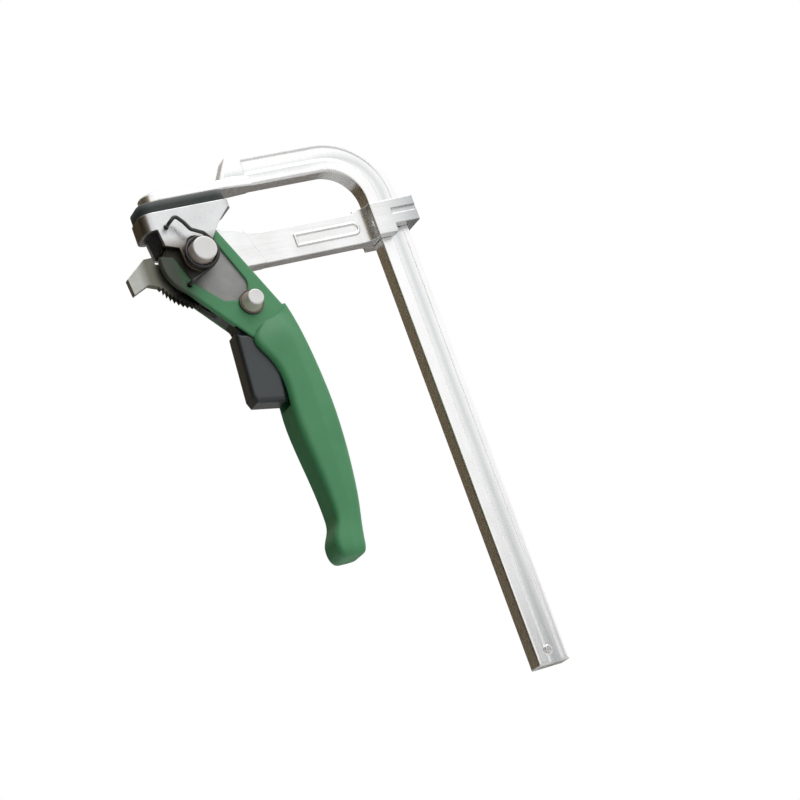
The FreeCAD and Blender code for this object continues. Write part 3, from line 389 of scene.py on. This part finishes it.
plastics = {
    "green_moulding": {
        "dark": (0.066, 0.285, 0.118),
        "light": (0.084, 0.335, 0.142),
        "rough": (0.40, 0.52),
        "grain": 2200,
        "edge": 0.0012,
        "depth": 0.10,
        "coat": 0.12,
        "fades": (head_tip_painted_shade,),
    },
    "black_moulding": {
        "dark": (0.020, 0.027, 0.029),
        "light": (0.034, 0.043, 0.047),
        "rough": (0.28, 0.38),
        "grain": 2000,
        "edge": 0.0008,
        "depth": 0.12,
        "coat": 0.4,
    },
    "pad_rubber": {
        "dark": (0.026, 0.036, 0.034),
        "light": (0.042, 0.054, 0.051),
        "rough": (0.6, 0.8),
        "grain": 1300,
        "edge": 0.0006,
        "depth": 0.3,
        "fades": (pad_fade,),
    },
}
finishes = {name: metal(name, **look) for name, look in metals.items()}
finishes.update({name: plastic(name, **look) for name, look in plastics.items()})
node_finishes = {
    "rail_bar": "bright_rail",
    "rail_stop_pin": "pin_steel",
    "sliding_arm": "bright_arm",
    "ratchet_sector": "ratchet_steel",
    "sector_rivets": "ratchet_steel",
    "lever_handle": "green_moulding",
    "lever_plate_front": "cheek_steel",
    "lever_plate_rear": "cheek_steel",
    "plate_spacer": "cheek_steel",
    "spacer_rivets": "cheek_steel",
    "pivot_pin": "pivot_steel",
    "pivot_washer": "washer_steel",
    "pivot_clip": "clip_steel",
    "lever_spring": "spring_steel",
    "trigger_pin": "trigger_pin_steel",
    "trigger_pin_washer": "washer_steel",
    "trigger_pin_clip": "clip_steel",
    "trigger": "black_moulding",
    "pawl": "pawl_steel",
    "pawl_pin": "pin_steel",
    "trigger_spring": "spring_steel",
    "pressure_shoe": "bright_sheet",
    "pressure_pad": "pad_rubber",
    "pad_studs": "pin_steel",
}
for node, finish in node_finishes.items():
    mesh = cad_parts[node].data
    mesh.materials.clear()
    mesh.materials.append(finishes[finish])


# Lever spring

def coil_place(degrees, depth):
    turn = math.radians(degrees)
    return Vector((coil_radius * math.cos(turn), depth, coil_radius * math.sin(turn) - pivot_drop))


def coil_touch(place, side):
    """The angle at which a straight leg from a place meets the coil, and the leg's length."""
    x, drop = place
    distance = math.hypot(x, drop)
    opening = math.degrees(math.acos(coil_radius / distance))
    return math.degrees(math.atan2(-drop, x)) + side * opening, math.sqrt(distance ** 2 - coil_radius ** 2)


def rounded_run(corners):
    """Places along straight runs joined by arcs."""
    places = [corners[0]]
    for before, corner, after in zip(corners, corners[1:], corners[2:]):
        back = (before - corner).normalized()
        onward = (after - corner).normalized()
        half_angle = back.angle(onward) / 2
        centre = corner + (back + onward).normalized() * wire_bend / math.sin(half_angle)
        reach = wire_bend / math.tan(half_angle)
        start = (corner + back * reach - centre).normalized()
        end = (corner + onward * reach - centre).normalized()
        for step in range(bend_steps + 1):
            places.append(centre + start.slerp(end, step / bend_steps) * wire_bend)
    places.append(corners[-1])
    return places


def spring_places():
    """The wire's middle line: a leg in the rim, the coil, and a leg that hooks into the shoe."""
    rise = coil_pitch / (2 * math.pi * coil_radius)
    first_angle, low_length = coil_touch(leg_low, 1)
    last_angle, high_length = coil_touch(leg_high[0], -1)
    last_angle += 360
    turn_angle = last_angle - first_angle
    front = coil_back - coil_pitch * turn_angle / 360
    low_x, low_z = leg_low[0], -pivot_drop - leg_low[1]
    low = [
        Vector((low_x, -cheek_depth, low_z)),
        Vector((low_x, coil_back + rise * low_length, low_z)),
        coil_place(first_angle, coil_back),
    ]
    high = [Vector((x, front - rise * high_length, -pivot_drop - drop)) for x, drop in leg_high]
    hook_end = Vector((high[-1].x, -shoe_inner_depth, high[-1].z))
    coil = []
    for step in range(turn_steps + 1):
        share = step / turn_steps
        depth = coil_back + (front - coil_back) * share
        coil.append(coil_place(first_angle + turn_angle * share, depth))
    return rounded_run(low)[:-1] + coil + rounded_run([coil[-1]] + high + [hook_end])[1:]


def wire_piece(name, places):
    """A round wire along the places, with its ring turned as little as possible from one to the next."""
    side = (places[1] - places[0]).orthogonal().normalized()
    corners = []
    for index, place in enumerate(places):
        way = (places[min(index + 1, len(places) - 1)] - places[max(index - 1, 0)]).normalized()
        side = (side - way * side.dot(way)).normalized()
        across = way.cross(side)
        for step in range(wire_sides):
            turn = 2 * math.pi * step / wire_sides
            corners.append(place + (side * math.cos(turn) + across * math.sin(turn)) * wire_radius)
    faces = []
    for row in range(len(places) - 1):
        for step in range(wire_sides):
            onward = (step + 1) % wire_sides
            low, high = row * wire_sides, (row + 1) * wire_sides
            faces.append((low + step, low + onward, high + onward, high + step))
    last = (len(places) - 1) * wire_sides
    faces.append(tuple(range(wire_sides))[::-1])
    faces.append(tuple(range(last, last + wire_sides)))
    mesh = bpy.data.meshes.new(name)
    mesh.from_pydata(corners, [], faces)
    mesh.polygons.foreach_set("use_smooth", [len(face) == 4 for face in faces])
    mesh.materials.append(finishes["spring_steel"])
    piece = bpy.data.objects.new(name, mesh)
    bpy.context.scene.collection.objects.link(piece)
    return piece


spring = wire_piece("spring_wire", spring_places())
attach(spring, "lever")
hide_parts("lever_spring")


# Camera

def place_camera():
    yaw, pitch, roll = (math.radians(a) for a in (camera_yaw, camera_pitch, camera_roll))
    forward = Vector((math.sin(yaw) * math.cos(pitch), math.cos(yaw) * math.cos(pitch), math.sin(pitch)))
    level = Vector((math.cos(yaw), -math.sin(yaw), 0))
    upright = level.cross(forward)
    right = level * math.cos(roll) - upright * math.sin(roll)
    up = level * math.sin(roll) + upright * math.cos(roll)
    data = bpy.data.cameras.new("camera")
    data.lens = camera_lens
    data.sensor_width = sensor_width
    camera = bpy.data.objects.new("camera", data)
    bpy.context.scene.collection.objects.link(camera)
    turn = Matrix((right, up, -forward)).transposed().to_4x4()
    camera.matrix_world = Matrix.Translation(camera_target - forward * camera_distance) @ turn
    bpy.context.scene.camera = camera


# Studio

def soft_box(name, place, size, power):
    data = bpy.data.lights.new(name, "AREA")
    data.size = size
    data.energy = power
    lamp = bpy.data.objects.new(name, data)
    bpy.context.scene.collection.objects.link(lamp)
    lamp.location = place
    lamp.rotation_euler = (camera_target - place).to_track_quat("-Z", "Y").to_euler()


def plain_card(name, colour, corners, shown=False, mirrored=True):
    mesh = bpy.data.meshes.new(name)
    mesh.from_pydata(corners, [], [(0, 1, 2, 3)])
    card = bpy.data.objects.new(name, mesh)
    bpy.context.scene.collection.objects.link(card)
    material, nodes, links, shader = new_material(name)
    shader.inputs["Base Color"].default_value = (*colour, 1)
    shader.inputs["Roughness"].default_value = card_roughness
    mesh.materials.append(material)
    card.visible_camera = shown
    card.visible_glossy = mirrored


def standing_card(name, colour, start, end, low, high, mirrored=True):
    """An upright card between two places on the plan, which the camera doesn't see."""
    corners = [(*start, low), (*end, low), (*end, high), (*start, high)]
    plain_card(name, colour, corners, mirrored=mirrored)


def build_world():
    """An even room light, with a white backdrop for the camera and for mirrored and transmitted rays."""
    world = bpy.data.worlds.new("studio")
    bpy.context.scene.world = world
    world.use_nodes = True
    nodes = world.node_tree.nodes
    links = world.node_tree.links
    room = nodes["Background"]
    room.inputs["Color"].default_value = white
    room.inputs["Strength"].default_value = room_light
    backdrop = nodes.new("ShaderNodeBackground")
    backdrop.inputs["Color"].default_value = white
    backdrop.inputs["Strength"].default_value = 1
    path = nodes.new("ShaderNodeLightPath")
    seen = math_node(nodes, links, "MAXIMUM", path.outputs["Is Camera Ray"], path.outputs["Is Glossy Ray"])
    mix = nodes.new("ShaderNodeMixShader")
    links.new(
        math_node(nodes, links, "MAXIMUM", seen, path.outputs["Is Transmission Ray"]), mix.inputs["Fac"]
    )
    links.new(room.outputs[0], mix.inputs[1])
    links.new(backdrop.outputs[0], mix.inputs[2])
    links.new(mix.outputs[0], nodes["World Output"].inputs["Surface"])


place_camera()
build_world()
soft_box("key", key_place, key_size, key_power)
half = floor_size / 2
floor_plan = ((-half, -half), (half, -half), (half, half), (-half, half))
floor_corners = [(x, y, floor_height) for x, y in floor_plan]
plain_card("floor", floor_colour, floor_corners, shown=True)
left_front = (left_card_x, left_card_start)
left_back = (left_card_x, back_card_y)
standing_card("left_flag", flag_colour, left_front, left_back, side_card_low, 0.75)
standing_card("left_shade", shade_colour, (shade_x, -0.45), (shade_x, 0.9), shade_low, 0.45, mirrored=False)
standing_card("back_left_flag", flag_colour, left_back, (0.2, back_card_y), side_card_low, 1.1)
standing_card("back_flag", back_flag_colour, (0.2, 0.8), (1.0, 0.8), -0.37, 0.0)
standing_card("front_card", card_colour, (0.35, -1.2), (1.0, -1.0), -0.35, -0.03)
bpy.context.scene.view_settings.view_transform = "Standard"
